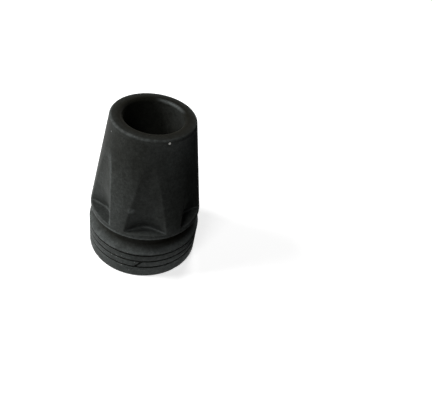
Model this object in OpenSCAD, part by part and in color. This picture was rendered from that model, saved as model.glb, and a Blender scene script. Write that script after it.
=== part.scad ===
// Push-on rubber tip for the foot of a walking cane, moulded in one piece.
// The origin is the centre of the sole, where the tip stands on the ground, and +Z is up the cane.
// The scallop toward -Y is the front one.

/* [Overall] */
// Height from the sole to the rim
total_h = 55; // [50:1:62]
// Diameter of the foot, the widest part
foot_d = 40; // [38:0.5:46]
// Diameter of the rim round the mouth
rim_d = 27; // [26:0.5:29]
// Rounding of the rim's outer edge
rim_round = 0.7; // [0.3:0.1:1.2]

/* [Bore] */
// Diameter of the blind bore that grips the cane
bore_d = 19; // [16:0.5:20]
// Depth of the bore below the rim
bore_depth = 36; // [30:1:38]
// Rounding of the bore's mouth
mouth_round = 0.6; // [0.2:0.1:1]
// Rounding between the bore's wall and its floor
bore_floor_round = 1.5; // [0.5:0.5:3]

/* [Flange] */
// Diameter of the flange at the bottom of the cone
flange_d = 39; // [37:0.5:40]
// Height of the flange's lower edge above the sole
flange_z = 18.8; // [18.3:0.1:19.3]
// Rounding of the flange's lower edge
flange_round = 0.6; // [0.2:0.1:0.8]
// Slope of the flange's underside, from level
underside_slope = 24; // [10:1:35]

/* [Scallops] */
// Number of scallops round the cone
scallop_count = 6; // [3:1:7]
// Radius of a scallop's hollow wall
scallop_r = 11; // [8:0.5:13]
// Distance from the axis to a scallop's deepest line
scallop_floor_r = 15.2; // [14.5:0.1:16.5]
// Height of the scallops' level shelf above the sole
shelf_z = 20.7; // [20.5:0.1:22]
// Fillet between a scallop's wall and its shelf
shelf_fillet = 0.8; // [0.3:0.1:1.5]

/* [Neck] */
// Diameter of the neck under the flange
neck_d = 34.4; // [32:0.2:36]
// Rounding at the top and bottom of the neck
neck_round = 0.8; // [0.2:0.1:1]
// Slope of the shoulder below the neck, from level
shoulder_slope = 45; // [35:1:48]
// Rounding of the shoulder's outer edge
shoulder_round = 0.6; // [0.2:0.1:0.8]

/* [Foot grooves] */
// Number of fine grooves round the foot
groove_count = 3; // [1:1:3]
// Height of the lowest groove above the sole
groove_z = 4.9; // [4:0.1:5]
// Distance from one groove to the next
groove_pitch = 3.05; // [2:0.05:3.1]
// Width of a groove
groove_w = 0.7; // [0.4:0.1:1]
// Depth of a groove
groove_depth = 0.8; // [0.4:0.1:1.5]
// Rounding of a groove's lips
lip_round = 0.25; // [0.1:0.05:0.4]
// Direction of the slanted nick that joins the two lowest grooves
nick_turn = -94.5; // [-180:0.5:180]
// Slant of the nick, from level
nick_slant = 50; // [30:1:80]
// Width of the nick
nick_w = 0.8; // [0.5:0.1:1]
// Depth of the nick
nick_depth = 0.6; // [0.3:0.1:0.7]

/* [Sole] */
// Radius of the outer ring groove's middle
outer_ring_r = 14; // [13:0.5:15]
// Radius of the inner ring groove's middle
inner_ring_r = 8.1; // [6:0.1:9]
// Width of the ring grooves
ring_w = 1.7; // [1:0.1:2.2]
// Depth of the ring grooves and of the notches
tread_depth = 1.3; // [0.8:0.1:2]
// Number of notches from the outer ring groove to the edge
notch_count = 4; // [2:1:6]
// Width of a notch
notch_w = 1.8; // [1:0.1:2.5]
// Direction of the first notch
notch_turn = 37; // [0:1:89]
// Rounding of the sole's edge
foot_round = 0.5; // [0.2:0.1:1]

/* [Hidden] */
$fn = 96;
rubber_colour = "#2b2c2b";
// Straight steps in the arc that rounds a corner
arc_steps = 5;
// How far a cutter reaches past the surface that it cuts
over = 1;
foot_r = foot_d / 2;
rim_r = rim_d / 2;
flange_r = flange_d / 2;
neck_r = neck_d / 2;
// The foot's side ends a third of a pitch above its highest groove
foot_top_z = groove_z + (groove_count - 1) * groove_pitch + groove_pitch / 3;
shoulder_z = foot_top_z + (foot_r - neck_r) * tan(shoulder_slope);
underside_z = flange_z - (flange_r - neck_r) * tan(underside_slope);

// Unit vector of v
function unit(v) = v / norm(v);

// One groove in the foot's side, from its lower lip to its upper one
function side_groove(z) = [
    [foot_r, z - groove_w / 2, lip_round],
    [foot_r - groove_depth, z - groove_w / 2, 0],
    [foot_r - groove_depth, z + groove_w / 2, 0],
    [foot_r, z + groove_w / 2, lip_round]
];

// One ring groove in the sole, from its inner lip to its outer one
function ring_groove(r) = [
    [r - ring_w / 2, 0, lip_round],
    [r - ring_w / 2, tread_depth, 0],
    [r + ring_w / 2, tread_depth, 0],
    [r + ring_w / 2, 0, lip_round]
];

// Half outline of the solid tip: radius, height, and the radius that rounds that corner
function tip_outline() = concat(
    [[0, 0, 0]],
    ring_groove(inner_ring_r),
    ring_groove(outer_ring_r),
    [[foot_r, 0, foot_round]],
    [for (i = [0 : groove_count - 1]) each side_groove(groove_z + i * groove_pitch)],
    [
        [foot_r, foot_top_z, shoulder_round],
        [neck_r, shoulder_z, neck_round],
        [neck_r, underside_z, neck_round],
        [flange_r, flange_z, flange_round],
        [rim_r, total_h, rim_round],
        [0, total_h, 0]
    ]
);

// The points of the arc that rounds one corner, whether it juts out or is hollow
function corner_arc(before, at, after, radius) =
    let (
        u = unit(before - at),
        v = unit(after - at),
        half_angle = acos(u * v) / 2,
        centre = at + unit(u + v) * radius / sin(half_angle),
        first = at + u * radius / tan(half_angle) - centre,
        last = at + v * radius / tan(half_angle) - centre,
        turn = atan2(first.x * last.y - first.y * last.x, first * last),
        start = atan2(first.y, first.x)
    )
    [for (i = [0 : arc_steps]) centre + radius * [
        cos(start + turn * i / arc_steps),
        sin(start + turn * i / arc_steps)
    ]];

// An outline of corners with each named rounding made
function rounded(corners) =
    let (n = len(corners), places = [for (c = corners) [c[0], c[1]]])
    [for (i = [0 : n - 1]) each corners[i][2] == 0
        ? [places[i]]
        : corner_arc(places[(i + n - 1) % n], places[i], places[(i + 1) % n], corners[i][2])];

// The solid tip before anything is cut into it
module blank() {
    rotate_extrude() polygon(rounded(tip_outline()));
}

// The bore for the cane, with its eased mouth
module bore_cut() {
    bore_r = bore_d / 2;
    translate([0, 0, total_h]) rotate_extrude() polygon(rounded([
        [0, -bore_depth, 0],
        [bore_r, -bore_depth, bore_floor_round],
        [bore_r, 0, mouth_round],
        [bore_r + over, 0, 0],
        [bore_r + over, over, 0],
        [0, over, 0]
    ]));
}

// One scallop: an upright round cutter that leaves a hollow wall and a level shelf
module scallop_cut() {
    translate([scallop_floor_r + scallop_r, 0, shelf_z])
        rotate_extrude() polygon(rounded([
            [0, 0, 0],
            [scallop_r, 0, shelf_fillet],
            [scallop_r, total_h, 0],
            [0, total_h, 0]
        ]));
}

// One notch across the sole's edge, open to the outer ring groove
module notch_cut() {
    translate([outer_ring_r, -notch_w / 2, -over])
        cube([foot_r - outer_ring_r + over, notch_w, tread_depth + over]);
}

// The slanted nick, with level ends that lie in the middle of the two lowest grooves
module nick_cut() {
    shift = groove_pitch / 2 / tan(nick_slant);
    half_w = nick_w / 2 / sin(nick_slant);
    translate([foot_r - nick_depth, 0, groove_z])
        rotate([90, 0, 90])
            linear_extrude(nick_depth + over)
                polygon([
                    [-shift - half_w, 0],
                    [-shift + half_w, 0],
                    [shift + half_w, groove_pitch],
                    [shift - half_w, groove_pitch]
                ]);
}

// The moulded tip
module rubber_tip() {
    color(rubber_colour) difference() {
        blank();
        bore_cut();
        for (i = [0 : scallop_count - 1])
            rotate([0, 0, -90 + i * 360 / scallop_count]) scallop_cut();
        for (i = [0 : notch_count - 1])
            rotate([0, 0, notch_turn + i * 360 / notch_count]) notch_cut();
        rotate([0, 0, nick_turn]) nick_cut();
    }
}

rubber_tip();
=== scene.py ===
# %% [markdown]
# # A rubber tip for a walking cane
#
# The object is one piece of black moulded rubber: a hollow cone that grips the cane, six scallops
# that thin its skirt, a lip over a narrow neck, and a grooved foot with a flat sole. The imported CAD
# model gives the frame and the sizes. This script makes the rubber that the eye sees: the same form
# with softened edges and finer scallops, its moulded surface, a pale floor, soft light and the camera.

# %% Load the frame
import math

import bmesh
import bpy
from mathutils import Matrix, Vector


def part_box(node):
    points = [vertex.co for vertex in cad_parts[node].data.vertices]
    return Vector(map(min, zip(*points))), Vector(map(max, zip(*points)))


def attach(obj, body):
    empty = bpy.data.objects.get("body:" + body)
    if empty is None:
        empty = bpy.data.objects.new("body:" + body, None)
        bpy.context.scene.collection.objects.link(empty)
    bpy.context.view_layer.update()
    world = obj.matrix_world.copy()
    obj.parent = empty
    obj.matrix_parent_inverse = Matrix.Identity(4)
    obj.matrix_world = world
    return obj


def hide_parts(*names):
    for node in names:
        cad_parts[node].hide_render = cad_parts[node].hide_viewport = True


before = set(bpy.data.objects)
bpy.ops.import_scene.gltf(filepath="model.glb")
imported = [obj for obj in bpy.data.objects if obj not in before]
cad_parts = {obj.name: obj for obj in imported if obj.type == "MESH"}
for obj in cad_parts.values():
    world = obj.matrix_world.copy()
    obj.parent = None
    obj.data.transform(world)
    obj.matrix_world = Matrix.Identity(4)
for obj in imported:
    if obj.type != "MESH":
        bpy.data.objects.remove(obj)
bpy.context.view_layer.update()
tip_low, tip_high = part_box("rubber_tip")
print("the CAD tip is", [round(h - l, 4) for l, h in zip(tip_low, tip_high)], "m in X, Y and Z")

# %% [markdown]
# ## The sizes
#
# Every length is a real one in millimetres and is turned to metres once, where the finished mesh is
# written. Radii are from the tip's axis, and heights from the sole. They repeat the CAD model's, so
# the two have the same outline, grooves and bore. Only the scallops' hollows, the notches' bottoms
# and some roundings follow the photographed tip more closely than the CAD model does.

# %% Sizes of the tip, in millimetres
MM = 0.001
# Foot, rim and whole height; the bore for the cane
FOOT_R, TOTAL_H, RIM_R = 20.0, 55.0, 13.5
BORE_R, BORE_FLOOR_Z = 9.5, TOTAL_H - 36.0
# The lip with its sloping underside, the neck, and the shoulder down to the foot's side
FLANGE_R, FLANGE_Z, UNDERSIDE_Z = 19.5, 18.8, 17.776
NECK_R, SHOULDER_Z, FOOT_TOP_Z = 17.2, 14.817, 12.017
# Grooves round the foot, ring grooves in the sole, and how deep the sole's tread is
GROOVE_ZS, GROOVE_W, GROOVE_DEEP = (4.9, 7.95, 11.0), 0.7, 0.8
RING_RS, RING_W, TREAD_DEEP = (8.1, 14.0), 1.7, 1.3
# Scallops round the cone, with the height of their shelves at the lip
SCALLOPS, SHELF_Z = 6, 20.7
# Notches across the sole's edge, and the nick between two grooves; turns and slant in degrees
NOTCHES, NOTCH_W, NOTCH_TURN, NOTCH_RISE = 4, 1.8, 37.0, 7.6
NICK_TURN, NICK_SLANT, NICK_W, NICK_DEEP = -94.5, 50.0, 0.8, 0.6
CONE_SLOPE = (FLANGE_R - RIM_R) / (TOTAL_H - FLANGE_Z)
print("the cone leans in", round(math.degrees(math.atan(CONE_SLOPE)), 2), "degrees a side")

# %% [markdown]
# ## The outline
#
# A moulded round thing is a turned thing: its mould was cut on a lathe, so one half outline turned
# about the axis gives the whole body, with its grooves and its bore. The outline is a wire of a few
# corners. Rubber can't fill a knife edge and is pulled off its mould while it is soft, so every
# corner that the eye meets is rounded, each by its own radius. The lip is crisper than in the CAD
# model, and the rim and the mouth are softer, as the light on them in the photograph shows. The
# bevel operator rounds a wire's corner when it is given a vertex instead of an edge.

# %% Name the roundings and the grooves
SOLE_ROUND, SHOULDER_ROUND, NECK_ROUND, LIP_ROUND = 0.5, 0.6, 0.8, 0.3
RIM_ROUND, MOUTH_ROUND, BORE_FLOOR_ROUND = 0.9, 1.3, 1.5
# A groove's lips, and the corners at its bottom
GROOVE_LIP, GROOVE_CORNER = 0.22, 0.12
RING_LIP, RING_CORNER = 0.25, 0.2


def side_groove(z):
    """A fine groove round the foot: two lips, and a flat bottom between them."""
    inside = FOOT_R - GROOVE_DEEP
    return [
        (FOOT_R, z - GROOVE_W / 2, GROOVE_LIP),
        (inside, z - GROOVE_W / 2, GROOVE_CORNER),
        (inside, z + GROOVE_W / 2, GROOVE_CORNER),
        (FOOT_R, z + GROOVE_W / 2, GROOVE_LIP),
    ]


def ring_groove(r):
    """A ring groove in the sole."""
    return [
        (r - RING_W / 2, 0.0, RING_LIP),
        (r - RING_W / 2, TREAD_DEEP, RING_CORNER),
        (r + RING_W / 2, TREAD_DEEP, RING_CORNER),
        (r + RING_W / 2, 0.0, RING_LIP),
    ]


print("a groove round the foot has", len(side_groove(GROOVE_ZS[0])), "corners")

# %% [markdown]
# ## Draw the wire
#
# Each corner is a radius, a height and the rounding that it gets, from the middle of the sole out,
# up the side, over the rim and down the bore. A rounding is a true arc: half the angle between the
# wire's two sides says how far from the corner the arc starts.

# %% Draw the half outline and round its corners


def round_corner(bm, vert, radius, steps=4):
    """Rounds the corner at one vertex of a wire by a true radius."""
    before, after = [e.other_vert(vert).co - vert.co for e in vert.link_edges]
    half_angle = before.angle(after) / 2
    bmesh.ops.bevel(
        bm,
        geom=[vert],
        offset=radius / math.tan(half_angle),
        offset_type="OFFSET",
        segments=steps,
        profile=0.5,
        affect="VERTICES",
        material=-1,
    )


corners = [(0.0, 0.0, 0)]
for r in RING_RS:
    corners += ring_groove(r)
corners += [(FOOT_R, 0.0, SOLE_ROUND)]
for z in GROOVE_ZS:
    corners += side_groove(z)
corners += [
    (FOOT_R, FOOT_TOP_Z, SHOULDER_ROUND),
    (NECK_R, SHOULDER_Z, NECK_ROUND),
    (NECK_R, UNDERSIDE_Z, NECK_ROUND),
    (FLANGE_R, FLANGE_Z, LIP_ROUND),
    (RIM_R, TOTAL_H, RIM_ROUND),
    (BORE_R, TOTAL_H, MOUTH_ROUND),
    (BORE_R, BORE_FLOOR_Z, BORE_FLOOR_ROUND),
    (0.0, BORE_FLOOR_Z, 0),
]
body = bmesh.new()
wire = [body.verts.new((r, 0, z)) for r, z, _ in corners]
for one, other in zip(wire, wire[1:]):
    body.edges.new((one, other))
for vert, (_, _, radius) in zip(wire, corners):
    if radius:
        round_corner(body, vert, radius)
print("the outline has", len(body.verts), "points")

# %% [markdown]
# ## Rows for the scallops
#
# The long straight edge of the cone needs rows of points before it is turned, because the scallops
# are pressed into it later. The rows lie close together just above the lip, where the press will
# spread them over the scallop's shelf, and further apart toward the rim.

# %% Divide the cone's edge into rows
SHELF_ROWS, WALL_ROWS, TOP_ROWS = 22, 40, 12
FIRST_ROW_Z, CROWD_Z, SCALLOP_TOP_Z, LAST_ROW_Z = SHELF_Z - 0.9, 22.6, 48.0, TOTAL_H - 1.2


def cone_r(z):
    """The cone's radius at a height."""
    return FLANGE_R - (z - FLANGE_Z) * CONE_SLOPE


def evenly(low, high, count):
    """Heights in even steps, from the low one to just short of the high one."""
    return [low + (high - low) * i / count for i in range(count)]


row_zs = (
    evenly(FIRST_ROW_Z, CROWD_Z, SHELF_ROWS)
    + evenly(CROWD_Z, SCALLOP_TOP_Z, WALL_ROWS)
    + evenly(SCALLOP_TOP_Z, LAST_ROW_Z, TOP_ROWS)
)
# The longest edge of the wire outside the bore is the cone's
outer_edges = [e for e in body.edges if min(v.co.x for v in e.verts) > BORE_R + MOUTH_ROUND]
cone_edge = max(outer_edges, key=lambda e: e.calc_length())
low, high = sorted(cone_edge.verts, key=lambda v: v.co.z)
body.edges.remove(cone_edge)
row_verts = [low] + [body.verts.new((cone_r(z), 0, z)) for z in row_zs] + [high]
for one, other in zip(row_verts, row_verts[1:]):
    body.edges.new((one, other))
print("the cone has", len(row_zs), "rows")

# %% [markdown]
# ## Turn the outline
#
# The spin operator turns the wire about the axis in a full circle and joins the end to the start.
# The two ends of the wire lie on the axis, where the points of all the steps are merged into one.

# %% Spin the outline into the body
COLUMNS = 264
bmesh.ops.spin(
    body,
    geom=body.verts[:] + body.edges[:],
    cent=(0, 0, 0),
    axis=(0, 0, 1),
    dvec=(0, 0, 0),
    angle=math.tau,
    steps=COLUMNS,
    use_merge=True,
    use_normal_flip=False,
    use_duplicate=False,
)
bmesh.ops.remove_doubles(body, verts=body.verts, dist=1e-4)
bmesh.ops.recalc_face_normals(body, faces=body.faces)
print("the body has", len(body.faces), "faces, open edges:", sum(e.is_boundary for e in body.edges))

# %% [markdown]
# ## Cut the notches and the nick
#
# Four notches cross the sole's edge into the outer ring groove. Their bottoms rise toward the sole's
# face as they go out, so the foot's side shows only a small bite. A short slanted nick joins the two
# lowest grooves of the foot. Both are straight cuts that don't follow the turned body, so a box is
# made for each and taken away with a Boolean modifier, whose result becomes the mesh. This comes
# before the scallops, while the mesh is still light.

# %% Make the cutting boxes


def box_bmesh(size, shear=0.0):
    """A box of the given size about the origin, its top moved along Y by the shear."""
    bm = bmesh.new()
    bmesh.ops.create_cube(bm, size=1.0)
    bmesh.ops.scale(bm, vec=size, verts=bm.verts)
    top = [v for v in bm.verts if v.co.z > 0]
    bottom = [v for v in bm.verts if v.co.z < 0]
    bmesh.ops.translate(bm, vec=(0, shear / 2, 0), verts=top)
    bmesh.ops.translate(bm, vec=(0, -shear / 2, 0), verts=bottom)
    return bm


def turn_about_axis(bm, degrees):
    """Turns a box about the tip's axis."""
    turn = Matrix.Rotation(math.radians(degrees), 3, "Z")
    bmesh.ops.rotate(bm, cent=(0, 0, 0), matrix=turn, verts=bm.verts)


def put_in(group, bm):
    """Adds a box to a group of them, and frees it."""
    spare = bpy.data.meshes.new("spare")
    bm.to_mesh(spare)
    bm.free()
    group.from_mesh(spare)
    bpy.data.meshes.remove(spare)


cutters = bmesh.new()
pitch = GROOVE_ZS[1] - GROOVE_ZS[0]
notch_len = FOOT_R + 1 - RING_RS[1]
for k in range(NOTCHES):
    notch = box_bmesh((notch_len, NOTCH_W, 2 * TREAD_DEEP))
    lean = Matrix.Rotation(math.radians(NOTCH_RISE), 3, "Y")
    bmesh.ops.rotate(notch, cent=(-notch_len / 2, 0, TREAD_DEEP), matrix=lean, verts=notch.verts)
    bmesh.ops.translate(notch, vec=(RING_RS[1] + notch_len / 2, 0, 0), verts=notch.verts)
    turn_about_axis(notch, NOTCH_TURN + k * 360 / NOTCHES)
    put_in(cutters, notch)
slant = math.radians(NICK_SLANT)
nick = box_bmesh((2 * NICK_DEEP, NICK_W / math.sin(slant), pitch), shear=pitch / math.tan(slant))
bmesh.ops.translate(nick, vec=(FOOT_R, 0, GROOVE_ZS[0] + pitch / 2), verts=nick.verts)
turn_about_axis(nick, NICK_TURN)
put_in(cutters, nick)
print("there are", len(cutters.faces) // 6, "cutting boxes")

# %% [markdown]
# ## Take the boxes away
#
# A Boolean works on objects, so the body and the boxes become objects for a moment. The exact solver
# is slower than the fast one, but it keeps the surface closed where a cut meets a groove.

# %% Cut the foot


def as_object(name, bm):
    """Turns a bmesh into an object of the scene, and frees it."""
    mesh = bpy.data.meshes.new(name)
    bm.to_mesh(mesh)
    bm.free()
    made = bpy.data.objects.new(name, mesh)
    bpy.context.scene.collection.objects.link(made)
    return made


uncut = as_object("uncut_body", body)
boxes = as_object("cutting_boxes", cutters)
cut = uncut.modifiers.new("cuts", "BOOLEAN")
cut.operation, cut.solver, cut.object = "DIFFERENCE", "EXACT", boxes
bpy.context.view_layer.update()
result = bpy.data.meshes.new_from_object(uncut.evaluated_get(bpy.context.evaluated_depsgraph_get()))
body = bmesh.new()
body.from_mesh(result)
for leftover in (uncut, boxes):
    bpy.data.objects.remove(leftover)
print("after the cuts", len(body.faces), "faces, open edges:", sum(e.is_boundary for e in body.edges))

# %% [markdown]
# ## Press the scallops
#
# Each scallop is an upright round hollow with a level shelf at its foot. On the real tip its edges
# run out softly into the cone, and toward the top it fades away with no sharp end. A cut with a
# Boolean would leave knife edges there. So the scallops are pressed instead: first the cone gets
# more columns, and then each of its points slides along a lane, from inside the rubber toward the
# cone's surface, and stops where the rubber ends. How far a point is from the end of the rubber is
# a sum of a few distances: to the cone, to the scallop's round wall and to its shelf. Where two of
# them are close, a rounded corner joins them.

# %% Give the cone more columns
HAIR = 0.01


def on_cone(vert):
    """Whether a point is on one of the cone's rows, and not in the bore."""
    return row_zs[0] - HAIR < vert.co.z < row_zs[-1] + HAIR and vert.co.xy.length > BORE_R + HAIR


level = [
    e
    for e in body.edges
    if all(on_cone(v) for v in e.verts) and abs(e.verts[0].co.z - e.verts[1].co.z) < HAIR
]
bmesh.ops.subdivide_edges(body, edges=level, cuts=2, use_grid_fill=True)
print("level edges divided:", len(level), "faces now:", len(body.faces))

# %% [markdown]
# ## The shape of a scallop
#
# Above its shelf, a scallop starts as a soft V between two ridges. Going up, it gets narrower and
# flatter, and it is nearly a plain facet where it runs out into the cone. A short table holds that:
# at some heights, how wide the hollow is and how deep its middle lies under the straight line between
# its two edges. The profile across it is a hyperbola, which is a V with a rounded middle. The shelf
# dips a little toward the axis, so its back line shows as a bow.

# %% Describe the hollow of a scallop
# Each row: a height, the half width there in degrees, and the depth below the edges' chord.
HOLLOW = (
    (20.7, 21.9, 3.5),
    (23.5, 20.6, 2.3),
    (27.0, 19.1, 1.3),
    (30.5, 17.3, 0.65),
    (34.0, 15.3, 0.35),
    (38.0, 12.9, 0.2),
    (41.5, 10.2, 0.12),
    (44.0, 6.8, 0.06),
    (45.7, 3.0, 0.02),
    (46.5, 0.0, 0.0),
)
# How broadly the V's middle is rounded: at the shelf, how much more high up, and from how high
SOFT, SOFTER, SOFTER_RISE = 0.7, 1.3, 13
# Over its top, the hollow's plane leaves the cone outward, so that it presses nothing
LEAVES, NEARLY_FLAT = 0.05, (0.1, 1.0)


def between(table, z):
    """The values of a table at one height, by straight lines between its rows."""
    if z <= table[0][0]:
        return table[0][1:]
    for (z0, *low), (z1, *high) in zip(table, table[1:]):
        if z <= z1:
            t = (z - z0) / (z1 - z0)
            return [p + (q - p) * t for p, q in zip(low, high)]
    return table[-1][1:]


def hollow_at(z):
    """The hollow's floor, its slope far from the middle and how broadly its middle is rounded."""
    half_width, depth = between(HOLLOW, z)
    r = cone_r(z)
    if half_width <= 0:
        return r + (z - HOLLOW[-1][0]) * LEAVES, *NEARLY_FLAT
    half_chord = r * math.sin(math.radians(half_width))
    floor = r * math.cos(math.radians(half_width)) - depth
    breadth = SOFT + SOFTER * min(max(z - SHELF_Z, 0) / SOFTER_RISE, 1)
    return floor, depth * math.sqrt(1 + 2 * breadth) / half_chord, breadth * depth


print("a scallop is", round(HOLLOW[0][1] * 2), "degrees wide at its shelf")
print("its hollow ends", HOLLOW[-1][0], "mm above the sole")

# %% [markdown]
# ## Where the rubber ends
#
# A point is in the rubber when it is inside the cone and not in the hollow over the shelf. The
# smaller of two such distances joins two surfaces with a knife edge. A rounded or an eased smaller
# one joins them with a fillet, as at the back of the shelf, or with a soft edge, as where the hollow
# meets the cone. That edge is softer near the shelf than high up.

# %% Measure how deep a point lies
SHELF_DIP, WALL_FILLET = 0.2, 0.7
EASE, EASE_LOST, CRISP_RISE = 0.3, 0.2, 14
CONE_COS = 1 / math.hypot(1, CONE_SLOPE)


def rounded_min(a, b, radius):
    """The smaller of two distances, with a rounded corner where they meet."""
    u, v = max(radius - a, 0), max(radius - b, 0)
    return max(radius, min(a, b)) - math.hypot(u, v)


def eased_min(a, b, width):
    """The smaller of two distances, eased over a width where they are nearly equal."""
    ease = max(width - abs(a - b), 0) / width
    return min(a, b) - ease * ease * width / 4


def distances(r, turn, z, hollow):
    """From a point in the rubber: how far to the cone, to the hollow's wall and above the shelf."""
    floor, slope, breadth = hollow
    to_cone = (cone_r(z) - r) * CONE_COS
    out, across = r * math.cos(turn), r * math.sin(turn)
    bend = math.hypot(breadth, slope * across)
    tilt = slope * slope * across / bend if bend else 0
    in_hollow = (out - floor - bend + breadth) / math.hypot(1, tilt)
    above_shelf = z - SHELF_Z + SHELF_DIP * (FLANGE_R - out)
    return to_cone, in_hollow, above_shelf


def crispness(z):
    """0 at the shelf, where edges are soft, and 1 from some way above it, where they are crisp."""
    return min(max((z - SHELF_Z) / CRISP_RISE, 0), 1)


def depth_in_rubber(r, turn, z, hollow):
    """How deep a point lies in the scalloped cone; its turn is from the scallop's middle."""
    to_cone, in_hollow, above_shelf = distances(r, turn, z, hollow)
    in_press = rounded_min(in_hollow, above_shelf, WALL_FILLET)
    return eased_min(to_cone, -in_press, EASE - EASE_LOST * crispness(z))


middle_r = hollow_at(SHELF_Z)[0]
print("a scallop's middle is", round(middle_r, 2), "mm from the axis at the shelf")

# %% [markdown]
# ## Mark the edges
#
# The finish of the rubber needs to know where the scallops' edges are, because they get painted
# highlights. The same distances tell it: on an edge, the way to the cone and the way out of the
# hollow are both nothing. Three layers of numbers on the points hold the marks: the scallops' edges,
# the other worn and highlit edges, and the polished ones round the mouth.

# %% Say where the marks are
# Half widths of the marks in millimetres, and how much narrower an edge's gets outside the hollow
EDGE_MARK, EDGE_NARROWS, SEAM_MARK = 0.42, 0.26, 0.55
# A seam is marked more strongly than an edge, and only where the hollow is deep
SEAM_GAIN, SEAM_DEPTH = 1.6, 0.5
# The marks fade out over this height, up to just over the hollow's top
FADE_H, OVER_TOP = 4, 1
# The painted highlight's share on the less lit side, the middle's, and its growth each radian
LESS_LIT_SHARE, MIDDLE_LIT_SHARE, LIT_SHARE_GROWTH = 0.3, 0.65, 4


def marks_there(r, turn, z):
    """Two marks, 1 on a scallop's edges and 1 along the back of its shelf, 0 a little way off.

    Both are painted highlights, and the side of a scallop whose walls face the light gets more.
    An edge's mark is broad toward the hollow.
    """
    to_cone, in_hollow, above_shelf = distances(r, turn, z, hollow_at(z))
    into_hollow = to_cone + min(in_hollow, above_shelf)
    width = EDGE_MARK - (0 if into_hollow > 0 else EDGE_NARROWS * crispness(z))
    share = min(max(MIDDLE_LIT_SHARE + LIT_SHARE_GROWTH * turn, LESS_LIT_SHARE), 1)
    fade = min(max((HOLLOW[-1][0] + OVER_TOP - z) / FADE_H, 0), 1)
    edge = (1 - abs(into_hollow) / width) * share * fade
    seam = SEAM_GAIN * (1 - abs(in_hollow - above_shelf) / SEAM_MARK) * share
    return max(edge, 0), max(seam, 0) if to_cone > SEAM_DEPTH else 0


# These hold the marks for wear and for the painted highlights along the edges
ridge_highlight = body.verts.layers.float.new("ridge_highlight")
wear_and_highlight = body.verts.layers.float.new("wear_and_highlight")
polished = body.verts.layers.float.new("polished")
print("the points carry", len(body.verts.layers.float), "marks")

# %% [markdown]
# ## Slide the points along their lanes
#
# The rows that lie close together above the lip start under the shelf, each a little further in, and
# slide up onto it. The rows above them start deep in the wall, lower than they end, so that they fan
# out over the hollow's wall. A point stops where the rubber ends, which is found by halving its lane
# again and again.

# %% Press the cone's points
# The lanes' outer ends lie this far outside the cone
OVERSHOOT = 0.3
# The shelf's lanes: the first one's inner radius, their span, how far under the shelf they start,
# and how much further the last one does
SHELF_LANE_R, SHELF_LANE_SPAN, SHELF_LANE_UNDER, SHELF_LANE_DIP = 18.6, 5.2, 1.3, 0.3
# The wall's lanes: the first one's inner radius, how much less the last one's is, and how far below
# its end the first one starts, with the power by which that wears off
WALL_LANE_R, WALL_LANE_TAPER, WALL_LANE_DROP, WEARS_OFF = 13.4, 0.9, 3.5, 1.5
SECTOR, HALVINGS = math.tau / SCALLOPS, 18


def lane(z):
    """The lane of one row: its inner and its outer end, each as a radius and a height."""
    outer = (cone_r(z) + OVERSHOOT, z)
    crowd = (z - row_zs[0]) / (CROWD_Z - row_zs[0])
    if crowd < 1:
        start = SHELF_Z - SHELF_LANE_UNDER - SHELF_LANE_DIP * crowd
        return (SHELF_LANE_R - SHELF_LANE_SPAN * crowd, start), outer
    up = min((z - CROWD_Z) / (SCALLOP_TOP_Z - CROWD_Z), 1)
    return (WALL_LANE_R - WALL_LANE_TAPER * up, z - WALL_LANE_DROP * (1 - up) ** WEARS_OFF), outer


def press(vert):
    """Slides a point to where the rubber ends, and marks it."""
    z = vert.co.z
    around = math.atan2(vert.co.y, vert.co.x)
    turn = (around + math.pi / 2 + SECTOR / 2) % SECTOR - SECTOR / 2
    (r0, z0), (r1, z1) = lane(z)
    inside, outside = 0.0, 1.0
    for _ in range(HALVINGS):
        middle = (inside + outside) / 2
        r, z = r0 + (r1 - r0) * middle, z0 + (z1 - z0) * middle
        if depth_in_rubber(r, turn, z, hollow_at(z)) > 0:
            inside = middle
        else:
            outside = middle
    r, z = r0 + (r1 - r0) * inside, z0 + (z1 - z0) * inside
    vert.co = (r * math.cos(around), r * math.sin(around), z)
    vert[ridge_highlight], vert[wear_and_highlight] = marks_there(r, turn, z)


pressed = [v for v in body.verts if on_cone(v)]
for vert in pressed:
    press(vert)
print("points pressed:", len(pressed))

# %% [markdown]
# ## Mark the rounded corners
#
# The outline's corners still say where the other edges are, by their radius and height. Those of the
# sole, the shoulder, the lip and the rim are worn, and on the left they carry a painted highlight too.
# The two round the mouth are polished. The lips of the foot's grooves count as the scallops' edges
# do, which get a painted highlight only on the left.

# %% Mark the worn and highlit corners
# A mark reaches as far as the corner's own rounding, a worn and highlit one at least this far, and
# its middle is full
WORN_HIGHLIT_REACH, FULL_MIDDLE = 0.45, 1.7
jutting = [c for c in corners if c[2] >= LIP_ROUND and c[0] in (FOOT_R, FLANGE_R, RIM_R)]
on_top = [c for c in corners if c[2] and c[1] == TOTAL_H]
lips = [c for c in corners if c[2] and c[0] == FOOT_R and c not in jutting]
for vert in body.verts:
    for layer, marked in ((wear_and_highlight, jutting), (polished, on_top), (ridge_highlight, lips)):
        for r, z, radius in marked:
            reach = max(radius, WORN_HIGHLIT_REACH) if layer == wear_and_highlight else radius
            near = math.hypot(vert.co.xy.length - r, vert.co.z - z) / reach
            vert[layer] = max(vert[layer], min(FULL_MIDDLE * (1 - near), 1))
print("marked corners:", len(jutting), "rubbed,", len(on_top), "polished,", len(lips), "lips")

# %% [markdown]
# ## Finish the mesh
#
# The mesh is turned to metres and shaded smooth, but for the sharp edges that the cuts left. It takes
# the place of the CAD node, and rides on the one body that the tip has. Its place is in its mesh, so
# the object itself stays at the origin, and a pattern that reads Object coordinates stays put.

# %% Make the object
SHARP_ANGLE = 40.0
bmesh.ops.scale(body, vec=(MM, MM, MM), verts=body.verts)
triangles = sum(len(f.verts) - 2 for f in body.faces)
tip = as_object("cane_tip", body)
tip.data.shade_smooth()
tip.data.set_sharp_from_angle(angle=math.radians(SHARP_ANGLE))
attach(tip, "root")
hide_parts("rubber_tip")
print("the tip has", triangles, "triangles")

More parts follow.
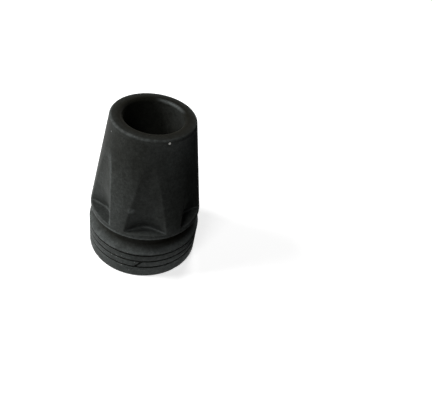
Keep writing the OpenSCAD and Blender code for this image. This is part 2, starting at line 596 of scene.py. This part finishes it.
# %% [markdown]
# ## Colours and nodes
#
# A colour is easiest to compare with a photograph as an sRGB hex value, but a shader reckons with
# linear light, so one function turns the first into the second. A second one adds a node to a tree:
# its settings, what goes into its sockets, and which of its outputs is wanted.

# %% Two helpers for materials


def linear(hex_colour):
    """An sRGB hex colour as the linear colour that a shader takes."""
    parts = [int(hex_colour[i : i + 2], 16) / 255 for i in (1, 3, 5)]
    return tuple(c / 12.92 if c <= 0.04045 else ((c + 0.055) / 1.055) ** 2.4 for c in parts) + (1.0,)


def add(tree, kind, output, settings, inputs):
    """Adds a node and gives one output; an input is a value, or the socket that feeds it."""
    node = tree.nodes.new(kind)
    for name, value in settings.items():
        setattr(node, name, value)
    for name, value in inputs.items():
        if isinstance(value, bpy.types.NodeSocket):
            tree.links.new(value, node.inputs[name])
        else:
            node.inputs[name].default_value = value
    return node.outputs[output] if output is not None else node


print("a middle grey of #808080 is", round(linear("#808080")[0], 3), "in linear light")

# %% [markdown]
# ## The rubber
#
# The real one is natural rubber filled with carbon black, pressed hot in a spark-eroded steel mould.
# The carbon black makes it one of the blackest things on a desk: bare, it gives back less than one
# per cent of the light. What the eye sees on it is mostly the thin grey film on top: wax that blooms
# out of the rubber, dust, and fine scuffs. Here the film's share carries painted light and shade as
# well. It is high on the foot, on the lip and on the lower cone, and low on the rim's top. The neck
# under the lip and the grooves are left near bare black, as painted shade. The two sides differ as
# painted light: the right side is lighter on the foot and high on the cone, and darker at the neck
# and round its scallop.
#
# So the colour is one mix of bare black and film grey, and a single number, the share of film and
# painted shading, says how pale the rubber is at each point. Two colour ramps give that share by
# height, one for each side.

# %% Say how much film and painted shading lies at each height
# Each stop: a height in millimetres, and the share of film and painted shading there. The low
# stops at the neck, from 13.7 to 17.6 mm, are painted shade under the lip.
FILM_AND_SHADING_LEFT = (
    (0.5, 0.54),
    (5.0, 0.52),
    (9.5, 0.46),
    (12.1, 0.2),
    (12.6, 0.14),
    (13.7, 0.1),
    (14.8, 0.09),
    (17.6, 0.1),
    (18.6, 0.4),
    (22.0, 0.37),
    (30.0, 0.31),
    (38.0, 0.26),
    (46.0, 0.17),
    (53.6, 0.17),
    (54.7, 0.02),
)
FILM_AND_SHADING_RIGHT = (
    (0.5, 0.95),
    (5.0, 0.9),
    (9.5, 0.66),
    (12.1, 0.62),
    (12.6, 0.58),
    (13.7, 0.03),
    (14.8, 0.0),
    (17.6, 0.0),
    (18.6, 0.46),
    (24.0, 0.27),
    (30.0, 0.25),
    (38.0, 0.25),
    (44.0, 0.33),
    (53.6, 0.6),
    (54.7, 0.02),
)
print("the film has", len(FILM_AND_SHADING_LEFT), "stops on the left and", len(FILM_AND_SHADING_RIGHT), "on the right")

# %% [markdown]
# ## Start the material
#
# The two lists become two colour ramps, each fed with the height as a share of the whole. Where the
# tip's left side passes into its right one, the film and its painted light and shade pass from the
# one ramp to the other.

# %% Start the rubber with its film and painted shading
# Where the left side ends and the right one begins, in millimetres along X
SIDES_MEET = (-5.0, 12.5)
rubber = bpy.data.materials.new("moulded_natural_rubber")
rubber.use_nodes = True
tree = rubber.node_tree
tree.nodes.clear()
place = add(tree, "ShaderNodeTexCoord", "Object", {}, {})
spot = add(tree, "ShaderNodeSeparateXYZ", None, {}, {"Vector": place}).outputs
height = spot["Z"]
share_of_height = add(
    tree, "ShaderNodeMath", "Value", {"operation": "DIVIDE"}, {0: height, 1: TOTAL_H * MM}
)
ramps = []
for stops in (FILM_AND_SHADING_LEFT, FILM_AND_SHADING_RIGHT):
    ramp = add(tree, "ShaderNodeValToRGB", None, {}, {"Fac": share_of_height})
    elements = ramp.color_ramp.elements
    while len(elements) < len(stops):
        elements.new(0.5)
    for element, (z, value) in zip(elements, stops):
        element.position = z / TOTAL_H
        element.color = (value, value, value, 1.0)
    ramps.append(ramp.outputs["Color"])
side = add(
    tree,
    "ShaderNodeMapRange",
    "Result",
    {"interpolation_type": "SMOOTHSTEP"},
    {"Value": spot["X"], "From Min": SIDES_MEET[0] * MM, "From Max": SIDES_MEET[1] * MM},
)
film_and_shading = add(
    tree, "ShaderNodeMix", 0, {"data_type": "FLOAT"}, {"Factor": side, 2: ramps[0], 3: ramps[1]}
)
print("the rubber's tree starts with", len(tree.nodes), "nodes")

# %% [markdown]
# ## Film in the grooves and in the bore, and the clouds in it
#
# The grooves are painted darker than the foot's side, as painted shade in them, so that their lines
# read as dark. How far a point lies from the axis tells a groove from the foot's side. Above the foot
# and on the sole that test must not count, so the largest of three masks is taken. The bore's wall
# has less film too. A mask for it and one for all that lies under the bore's floor, where the first
# must not count, are put together in the same way.
#
# The film is also cloudy, in patches of about 4 mm, as fingers and shelves leave it.

# %% Paint shade into the grooves, thin the film in the bore, and cloud the film
# The share of film kept in the grooves, which is painted shade, and on the bore's wall
GROOVE_SHADE, BORE_FILM = 0.2, 0.35
CLOUD = 1 / 0.004
level_place = add(
    tree, "ShaderNodeVectorMath", "Vector", {"operation": "MULTIPLY"}, {0: place, 1: (1, 1, 0)}
)
from_axis = add(
    tree, "ShaderNodeVectorMath", "Value", {"operation": "LENGTH"}, {0: level_place}
)
masks = [
    add(
        tree,
        "ShaderNodeMapRange",
        "Result",
        {},
        {"Value": value, "From Min": low * MM, "From Max": high * MM, "To Min": first, "To Max": last},
    )
    for value, low, high, first, last in (
        # In a groove, above the foot's side, and on the sole; in millimetres, from and to
        (from_axis, FOOT_R - 0.25, FOOT_R - 0.05, GROOVE_SHADE, 1.0),
        (height, FOOT_TOP_Z - 0.4, FOOT_TOP_Z, 0.0, 1.0),
        (height, 0.05, 0.4, 1.0, 0.0),
        # On the bore's wall, and under its floor
        (from_axis, BORE_R + 0.1, BORE_R + 0.5, BORE_FILM, 1.0),
        (height, BORE_FLOOR_Z - 2.0, BORE_FLOOR_Z - 1.0, 1.0, 0.0),
    )
]
clouds = add(
    tree,
    "ShaderNodeTexNoise",
    "Fac",
    {},
    {"Vector": place, "Scale": CLOUD, "Detail": 4.0, "Roughness": 0.6},
)
clouds = add(
    tree,
    "ShaderNodeMapRange",
    "Result",
    {},
    {"Value": clouds, "From Min": 0.3, "From Max": 0.7, "To Min": 0.8, "To Max": 1.2},
)
for mask, *others in (masks[:3], masks[3:], [clouds]):
    for other in others:
        mask = add(tree, "ShaderNodeMath", "Value", {"operation": "MAXIMUM"}, {0: mask, 1: other})
    film_and_shading = add(tree, "ShaderNodeMath", "Value", {"operation": "MULTIPLY"}, {0: film_and_shading, 1: mask})
print("the grooves keep", GROOVE_SHADE, "of the film, and the bore's wall", BORE_FILM)

# %% [markdown]
# ## Wear and painted highlights along the edges
#
# Edges touch other things first, and that leaves a fine pale line along the lip, the rim and the
# foot's edges. The seams at the back of the scallops' shelves get a pale line too, which is a painted
# highlight. The cells on the mesh have written down where those are, as attributes of its points, and
# the shader reads them. Noise of about 2 mm breaks the line. The lit left side gets more of it, as a
# painted highlight over the wear. The long edges of the scallops are painted highlights, pale only
# there, in a soft band on one edge and a fainter one on the other, and hardly show on the front and
# the right. So are the lips of the foot's grooves.

# %% Pale the worn edges and paint the highlights
# Film added along worn edges, with a painted highlight on the left, and along ridges as a painted
# highlight
EDGE_WEAR_AND_HIGHLIGHT, RIDGE_HIGHLIGHT = 0.6, 0.3
# The shares of these that the right side gets, and where the pale ridges end, in mm along X
EDGE_RIGHT, RIDGE_RIGHT, RIDGES_END = 0.5, 0.06, (-9.5, -7.5)
BREAKS = 1 / 0.0024
worn_highlit_edge = add(tree, "ShaderNodeAttribute", "Fac", {"attribute_name": "wear_and_highlight"}, {})
breaks = add(
    tree,
    "ShaderNodeTexNoise",
    "Fac",
    {},
    {"Vector": place, "Scale": BREAKS, "Detail": 3.0, "Roughness": 0.6},
)
broken = add(
    tree,
    "ShaderNodeMapRange",
    "Result",
    {},
    {"Value": breaks, "From Min": 0.35, "From Max": 0.6, "To Min": 0.5},
)
scallop_edge = add(tree, "ShaderNodeAttribute", "Fac", {"attribute_name": "ridge_highlight"}, {})
edges_by_side = add(
    tree,
    "ShaderNodeMapRange",
    "Result",
    {},
    {"Value": side, "To Min": EDGE_WEAR_AND_HIGHLIGHT, "To Max": EDGE_RIGHT * EDGE_WEAR_AND_HIGHLIGHT},
)
ridges_by_side = add(
    tree,
    "ShaderNodeMapRange",
    "Result",
    {},
    {
        "Value": spot["X"],
        "From Min": RIDGES_END[0] * MM,
        "From Max": RIDGES_END[1] * MM,
        "To Min": RIDGE_HIGHLIGHT,
        "To Max": RIDGE_RIGHT * RIDGE_HIGHLIGHT,
    },
)
for edge, amount in ((worn_highlit_edge, edges_by_side), (scallop_edge, ridges_by_side)):
    pale_line = add(tree, "ShaderNodeMath", "Value", {"operation": "MULTIPLY"}, {0: edge, 1: broken})
    film_and_shading = add(
        tree, "ShaderNodeMath", "Value", {"operation": "MULTIPLY_ADD"}, {0: pale_line, 1: amount, 2: film_and_shading}
    )
# On the left, a worn edge's added film is a painted highlight as well as wear
print("a worn edge has", EDGE_WEAR_AND_HIGHLIGHT, "more film on the left, and", EDGE_RIGHT, "of that on the right")

# %% [markdown]
# ## A painted highlight inside the mouth, and a smudge
#
# At the back on the right, the mouth's rounded edge is painted as a light line: a painted highlight,
# where the key lamp would glint on the rounding. It is drawn where the polished mark is strong and
# the point lies far enough toward that side. On the front, to the left of the middle, a faint pale
# smudge shows, and it is kept: a soft ball about a point on the cone.

# %% Paint the highlight in the mouth and add the smudge
# The way toward the painted highlight, and how far that way it starts and is full, in mm
HIGHLIGHT_SIDE, HIGHLIGHT_FROM, HIGHLIGHT_FULL, MOUTH_HIGHLIGHT = (0.62, 0.79, 0.0), 7.8, 10.0, 0.8
# The smudge's middle and radius in metres
SMUDGE_AT, SMUDGE_R, SMUDGE_FILM = (-0.0050, -0.0168, 0.0292), 0.0016, 0.9
polish = add(tree, "ShaderNodeAttribute", "Fac", {"attribute_name": "polished"}, {})
narrow_polish = add(
    tree, "ShaderNodeMath", "Value", {"operation": "POWER"}, {0: polish, 1: 2.0}
)
toward_highlight = add(
    tree, "ShaderNodeVectorMath", "Value", {"operation": "DOT_PRODUCT"}, {0: place, 1: HIGHLIGHT_SIDE}
)
mouth_highlight = add(
    tree,
    "ShaderNodeMapRange",
    "Result",
    {"interpolation_type": "SMOOTHSTEP"},
    {
        "Value": toward_highlight,
        "From Min": HIGHLIGHT_FROM * MM,
        "From Max": HIGHLIGHT_FULL * MM,
        "To Max": MOUTH_HIGHLIGHT,
    },
)
film_and_shading = add(
    tree,
    "ShaderNodeMath",
    "Value",
    {"operation": "MULTIPLY_ADD"},
    {0: narrow_polish, 1: mouth_highlight, 2: film_and_shading},
)
to_smudge = add(
    tree, "ShaderNodeVectorMath", "Value", {"operation": "DISTANCE"}, {0: place, 1: SMUDGE_AT}
)
smudge = add(
    tree,
    "ShaderNodeMapRange",
    "Result",
    {"interpolation_type": "SMOOTHSTEP"},
    {"Value": to_smudge, "From Min": SMUDGE_R, "From Max": 0.0, "To Max": SMUDGE_FILM},
)
smudge = add(tree, "ShaderNodeMath", "Value", {"operation": "MULTIPLY"}, {0: smudge, 1: broken})
film_and_shading = add(tree, "ShaderNodeMath", "Value", {"operation": "ADD"}, {0: film_and_shading, 1: smudge})
# The mouth's added film is a painted highlight
print("the scuffed side of the mouth has", MOUTH_HIGHLIGHT, "more film, and the smudge", SMUDGE_FILM)

# %% [markdown]
# ## Grain, mottle and specks
#
# A spark-eroded mould leaves a satin grain of some 0.03 mm. The render shows 0.4 mm a pixel, so the
# grain is drawn coarser, at 0.4 mm, or it would not show at all. Over it lies a mottle of 1.1 mm, the
# flow marks of the rubber. Specks are bits of dust and worn-off rubber, up to half a millimetre
# across: a cell of a Voronoi pattern holds one or none. They lie where the film is thick, on the
# left more than on the right, and nearly all of them on the foot, which stands in the dirt.

# %% Draw the grain and the specks
GRAIN, MOTTLE, SPECK_CELL = 1 / 0.0004, 1 / 0.0011, 1 / 0.0009
# A cell's random pick gives its speck's radius, as a share of the cell: SPREAD * pick - NONE. A
# pick under 0.54 gives none. CRISP is how sharply a speck ends.
SPREAD, NONE, CRISP = 0.7, 0.38, 9.0
# The film that specks need, and that brings the most of them, and how strong they are there
FEW, MANY, SPECKS = 0.3, 0.6, 0.8
# The share of specks on the right, and above the foot, which ends between these heights in mm
SPECKS_RIGHT, SPECKS_ABOVE, FOOT_ENDS = 0.3, 0.2, (11.0, 12.0)
grain, mottle = [
    add(
        tree,
        "ShaderNodeTexNoise",
        "Fac",
        {},
        {"Vector": place, "Scale": scale, "Detail": detail, "Roughness": 0.6},
    )
    for scale, detail in ((GRAIN, 3.0), (MOTTLE, 2.0))
]
cells = add(
    tree, "ShaderNodeTexVoronoi", None, {}, {"Vector": place, "Scale": SPECK_CELL}
).outputs
pick = add(tree, "ShaderNodeSeparateColor", "Red", {}, {"Color": cells["Color"]})
speck = add(
    tree, "ShaderNodeMath", "Value", {"operation": "MULTIPLY_ADD"}, {0: pick, 1: SPREAD, 2: -NONE}
)
speck = add(
    tree, "ShaderNodeMath", "Value", {"operation": "SUBTRACT"}, {0: speck, 1: cells["Distance"]}
)
speck = add(
    tree, "ShaderNodeMath", "Value", {"operation": "MULTIPLY", "use_clamp": True}, {0: speck, 1: CRISP}
)
there = [
    add(
        tree,
        "ShaderNodeMapRange",
        "Result",
        {},
        {"Value": value, "From Min": low, "From Max": high, "To Min": first, "To Max": last},
    )
    for value, low, high, first, last in (
        (film_and_shading, FEW, MANY, 0.0, SPECKS),
        (side, 0.0, 1.0, 1.0, SPECKS_RIGHT),
        (height, FOOT_ENDS[0] * MM, FOOT_ENDS[1] * MM, 1.0, SPECKS_ABOVE),
    )
]
for factor in there:
    speck = add(tree, "ShaderNodeMath", "Value", {"operation": "MULTIPLY"}, {0: speck, 1: factor})
print("a speck's cell is", round(1000 / SPECK_CELL, 2), "mm wide")

# %% [markdown]
# ## Mix the rubber's colour
#
# Film grey over bare black, made uneven by the grain and the mottle, with the specks on top. The
# photograph shows a larger crumb of white dust under the rim, at the front on the right, and a small
# grey one at the left. They are kept, as all dirt is: each is a ball about a point on the cone,
# which the surface cuts into a round spot.

# %% Mix the colours
BARE_BLACK, FILM_GREY, SPECK_GREY = "#0f0e08", "#585c5b", "#909190"
# The share of its radius inside which a crumb's colour is full
CRUMB_CORE = 0.67
# Each crumb: its middle and its radius in metres, and its colour
CRUMBS = (
    ((0.0048, -0.01285, 0.054), 0.00042, "#e6e6e0"),
    ((-0.01236, -0.00657, 0.052), 0.00024, "#707270"),
)
by_grain, by_mottle = [
    add(
        tree,
        "ShaderNodeMapRange",
        "Result",
        {},
        {"Value": pattern, "From Min": low, "From Max": high, "To Min": least, "To Max": most},
    )
    for pattern, low, high, least, most in (
        # The pattern, its low and high end, and how light the colour is there
        (grain, 0.25, 0.75, 0.75, 1.25),
        (mottle, 0.3, 0.7, 0.8, 1.2),
    )
]
evenness = add(
    tree, "ShaderNodeMath", "Value", {"operation": "MULTIPLY"}, {0: by_grain, 1: by_mottle}
)
# The film's share carries painted light and shade too, and this mix paints them into the colour
colour = add(
    tree,
    "ShaderNodeMix",
    2,
    {"data_type": "RGBA"},
    {"Factor": film_and_shading, 6: linear(BARE_BLACK), 7: linear(FILM_GREY)},
)
colour = add(
    tree, "ShaderNodeVectorMath", "Vector", {"operation": "SCALE"}, {0: colour, "Scale": evenness}
)
dirt = [(speck, SPECK_GREY)]
for middle, radius, hex_colour in CRUMBS:
    to_crumb = add(
        tree, "ShaderNodeVectorMath", "Value", {"operation": "DISTANCE"}, {0: place, 1: middle}
    )
    crumb = add(
        tree,
        "ShaderNodeMapRange",
        "Result",
        {},
        {"Value": to_crumb, "From Min": radius, "From Max": CRUMB_CORE * radius},
    )
    dirt.append((crumb, hex_colour))
for where, hex_colour in dirt:
    colour = add(
        tree,
        "ShaderNodeMix",
        2,
        {"data_type": "RGBA"},
        {"Factor": where, 6: colour, 7: linear(hex_colour)},
    )
print("bare rubber is", BARE_BLACK, "and the film on it", FILM_GREY)

# %% [markdown]
# ## Gloss and bumps
#
# Rubber's index of refraction is about 1.52, which on a polished piece gives a clear gloss. The grain
# of this one scatters nearly all of it, and round it all is pure white, which even a little gloss
# would lay over the black as a grey veil. So the specular level is close to nothing. The roughness is
# that of a satin surface, more where the film is thick, and less on the rounded edges of the rim and
# the mouth, which hands and the cane rub smooth. The bumps are the grain, the mottle and the specks,
# 0.06 mm high at most.

# %% Make the shader
BARE_ROUGHNESS, BUMP_HEIGHT, BUMP_STRENGTH = 0.42, 0.06 * MM, 0.5
roughness = BARE_ROUGHNESS
for part, amount in ((mottle, 0.14), (film_and_shading, 0.1), (polish, -0.16)):
    roughness = add(
        tree,
        "ShaderNodeMath",
        "Value",
        {"operation": "MULTIPLY_ADD"},
        {0: part, 1: amount, 2: roughness},
    )
bumps = 0.0
for part, amount in ((grain, 0.5), (mottle, 0.5), (speck, 0.6)):
    bumps = add(
        tree, "ShaderNodeMath", "Value", {"operation": "MULTIPLY_ADD"}, {0: part, 1: amount, 2: bumps}
    )
normal = add(
    tree,
    "ShaderNodeBump",
    "Normal",
    {},
    {"Height": bumps, "Strength": BUMP_STRENGTH, "Distance": BUMP_HEIGHT},
)
shader = add(
    tree,
    "ShaderNodeBsdfPrincipled",
    "BSDF",
    {},
    {
        "Base Color": colour,
        "Roughness": roughness,
        "IOR": 1.52,
        "Specular IOR Level": 0.02,
        "Normal": normal,
    },
)
add(tree, "ShaderNodeOutputMaterial", None, {}, {"Surface": shader})
tip.data.materials.append(rubber)
print("the rubber's tree has", len(tree.nodes), "nodes")

# %% [markdown]
# ## The floor
#
# A sheet of matte white paper, wide enough to fill every view. The object is photographed on pure
# white, which a lit sheet only reaches with far more light than the rubber should have. So the rays
# that come from the camera, or by way of a reflection or a clear surface, see a glow added to the
# paper, while the light that the paper throws back on the rubber stays true. The tip's shadow is in
# the part that isn't glow, so it stays, faint, as on a bright table. Further out the lamps' light
# falls off, and the glow grows with the distance from the tip to make up for it.

# %% Lay the floor
FLOOR_HALF, UNDER_SOLE = 1.5, 0.00002
# The glow's strength near the tip and far from it, and how far these are in metres
GLOW_NEAR, GLOW_FAR, NEAR_R, FAR_R = 0.6, 0.95, 0.09, 0.3
WHITE, PAPER_WHITE = "#ffffff", "#e7e7e7"
ground = bmesh.new()
bmesh.ops.create_grid(ground, x_segments=1, y_segments=1, size=FLOOR_HALF)
bmesh.ops.translate(ground, vec=(0, 0, -UNDER_SOLE), verts=ground.verts)
floor = as_object("floor", ground)
paper = bpy.data.materials.new("matte_white_paper")
paper.use_nodes = True
tree = paper.node_tree
tree.nodes.clear()


def shows_background(tree):
    """1 for the rays that should meet the pale background, 0 for those that carry light."""
    path = add(tree, "ShaderNodeLightPath", None, {}, {}).outputs
    seen = path["Is Camera Ray"]
    for kind in ("Is Glossy Ray", "Is Transmission Ray"):
        seen = add(tree, "ShaderNodeMath", "Value", {"operation": "MAXIMUM"}, {0: seen, 1: path[kind]})
    return seen


on_floor = add(tree, "ShaderNodeTexCoord", "Object", {}, {})
from_tip = add(tree, "ShaderNodeVectorMath", "Value", {"operation": "LENGTH"}, {0: on_floor})
glow_there = add(
    tree,
    "ShaderNodeMapRange",
    "Result",
    {},
    {
        "Value": from_tip,
        "From Min": NEAR_R,
        "From Max": FAR_R,
        "To Min": GLOW_NEAR,
        "To Max": GLOW_FAR,
    },
)
glow = add(
    tree, "ShaderNodeEmission", "Emission", {}, {"Color": linear(WHITE), "Strength": glow_there}
)
white = add(tree, "ShaderNodeBsdfDiffuse", "BSDF", {}, {"Color": linear(PAPER_WHITE)})
shown = add(tree, "ShaderNodeAddShader", "Shader", {}, {0: glow, 1: white})
mixed = add(
    tree, "ShaderNodeMixShader", "Shader", {}, {0: shows_background(tree), 1: white, 2: shown}
)
add(tree, "ShaderNodeOutputMaterial", None, {}, {"Surface": mixed})
floor.data.materials.append(paper)
print("the floor is", 2 * FLOOR_HALF, "m wide")

# %% [markdown]
# ## The camera
#
# The photograph was taken from close by and well above, with the tip left of the middle. The
# ellipses of the rim, the lip and the foot say where the camera stood: 131 mm above the floor and
# 120 mm from the axis, so the tip narrows toward its foot and leans a little in the picture. Two
# vectors hold that, in the camera's own terms of right, down and ahead: the tip's upward axis, and
# the centre of its sole in millimetres.

# %% Set up the camera
FOCAL_PIXELS, PICTURE_W, SENSOR_MM = 446.0, 432.0, 36.0
AXIS_RIGHT, AXIS_DOWN = 0.1737, -0.7138
SOLE_AT = Vector((-28.616, 10.228, 174.942))
# The direction round the axis that faces the camera, in degrees
SEEN_FROM = -92.0
camera = bpy.data.objects.new("camera", bpy.data.cameras.new("camera"))
bpy.context.scene.collection.objects.link(camera)
bpy.context.scene.camera = camera
camera.data.sensor_width = SENSOR_MM
camera.data.lens = SENSOR_MM * FOCAL_PIXELS / PICTURE_W
camera.data.clip_start, camera.data.clip_end = 0.01, 10.0
axis_up = Vector((AXIS_RIGHT, AXIS_DOWN, -math.sqrt(1 - AXIS_RIGHT**2 - AXIS_DOWN**2)))
level_front = (-SOLE_AT - axis_up * (-SOLE_AT).dot(axis_up)).normalized()
level_right = level_front.cross(axis_up)
if level_right.x < 0:
    level_right = -level_right
toward = math.radians(SEEN_FROM)
front_here = Vector((math.cos(toward), math.sin(toward), 0))
right_here = Vector((-math.sin(toward), math.cos(toward), 0))


def to_frame(v):
    """A direction in the camera's own terms (right, down, ahead), turned into the frame's."""
    level = front_here * v.dot(level_front) + right_here * v.dot(level_right)
    return level + Vector((0, 0, v.dot(axis_up)))


camera_axes = [to_frame(Vector(v)) for v in ((1, 0, 0), (0, -1, 0), (0, 0, -1))]
stands_at = to_frame(-SOLE_AT) * MM
camera.matrix_world = Matrix.Translation(stands_at) @ Matrix(camera_axes).transposed().to_4x4()
print("the camera is at", tuple(round(c, 4) for c in stands_at))

# %% [markdown]
# ## The lamps
#
# One soft lamp stands high on the left, with a weaker one near the floor under it, and a third lights
# the front from the left. That is what the photograph's own shading says: the left of the cone is
# several times as light as its right. The fourth stands behind the tip, so that the back can be
# looked at too. The photograph has no such lamp, so it is kept out of reflections, or it would draw
# a bright line along the rim.

# %% Hang the lamps
# The lamps' width, how far they are from the point that they are aimed at, and that point
LAMP_SIZE, LAMP_AWAY, LIT_AT = 0.14, 0.42, Vector((0, 0, 0.03))
LAMPS = (
    # name, direction round the tip and height in degrees, watts, and whether it shows in gloss
    ("key_lamp", -182.0, 42.0, 1.44, True),
    ("side_lamp", -187.0, 10.0, 0.5, True),
    ("fill_lamp", -122.0, 48.0, 0.53, True),
    ("back_lamp", 75.0, 15.0, 1.5, False),
)
for name, turn, rise, watts, in_gloss in LAMPS:
    light = bpy.data.lights.new(name, "AREA")
    light.energy, light.size = watts, LAMP_SIZE
    lamp = bpy.data.objects.new(name, light)
    bpy.context.scene.collection.objects.link(lamp)
    lamp.visible_glossy = in_gloss
    a, e = math.radians(turn), math.radians(rise)
    away = Vector((math.cos(a) * math.cos(e), math.sin(a) * math.cos(e), math.sin(e)))
    lamp.location = LIT_AT + LAMP_AWAY * away
    lamp.rotation_euler = (-away).to_track_quat("-Z", "Y").to_euler()
print("lamps:", [name for name, *_ in LAMPS])

# %% [markdown]
# ## A black card
#
# A photographer who shoots a black thing on white holds a black card beside it, out of the picture,
# so that its dark side doesn't mirror the white table. The card here slopes up from the right of the
# foot. The camera doesn't see it and it throws no shadow, so it only darkens what the rubber mirrors
# and the light that comes to the rubber from the floor there.

# %% Hold the card
CARD_HALF, CARD_SLOPE, FELT_BLACK = 0.2, 20.0, "#191919"
CARD_FROM = Vector((0.0215, -0.02, 0.0005))
card = bmesh.new()
bmesh.ops.create_grid(card, x_segments=1, y_segments=1, size=CARD_HALF)
bmesh.ops.translate(card, vec=(CARD_HALF, 0, 0), verts=card.verts)
slope = Matrix.Rotation(math.radians(-CARD_SLOPE), 3, "Y")
bmesh.ops.rotate(card, cent=(0, 0, 0), matrix=slope, verts=card.verts)
bmesh.ops.translate(card, vec=CARD_FROM, verts=card.verts)
black_card = as_object("black_card", card)
black_card.visible_camera = False
black_card.visible_shadow = False
felt = bpy.data.materials.new("black_felt")
felt.use_nodes = True
tree = felt.node_tree
tree.nodes.clear()
black = add(tree, "ShaderNodeBsdfDiffuse", "BSDF", {}, {"Color": linear(FELT_BLACK)})
add(tree, "ShaderNodeOutputMaterial", None, {}, {"Surface": black})
black_card.data.materials.append(felt)
print("the card reaches from", tuple(round(c, 4) for c in CARD_FROM), "up to the right")

# %% [markdown]
# ## The sky
#
# The sky is nearly dark for the rubber, so that only the lamps and the floor light it, and white for
# the camera and for whatever mirrors it. The Standard view transform shows colours as they are
# written.

# %% Make the sky
SKY_LIGHT, SKY_SEEN = 0.03, 1.0
world = bpy.data.worlds.new("studio")
bpy.context.scene.world = world
world.use_nodes = True
tree = world.node_tree
tree.nodes.clear()
skies = [
    add(
        tree,
        "ShaderNodeBackground",
        "Background",
        {},
        {"Color": linear(WHITE), "Strength": strength},
    )
    for strength in (SKY_LIGHT, SKY_SEEN)
]
mixed = add(
    tree, "ShaderNodeMixShader", "Shader", {}, {0: shows_background(tree), 1: skies[0], 2: skies[1]}
)
add(tree, "ShaderNodeOutputWorld", None, {}, {"Surface": mixed})
bpy.context.scene.view_settings.view_transform = "Standard"
print("the sky gives", SKY_LIGHT, "of the light that it shows")
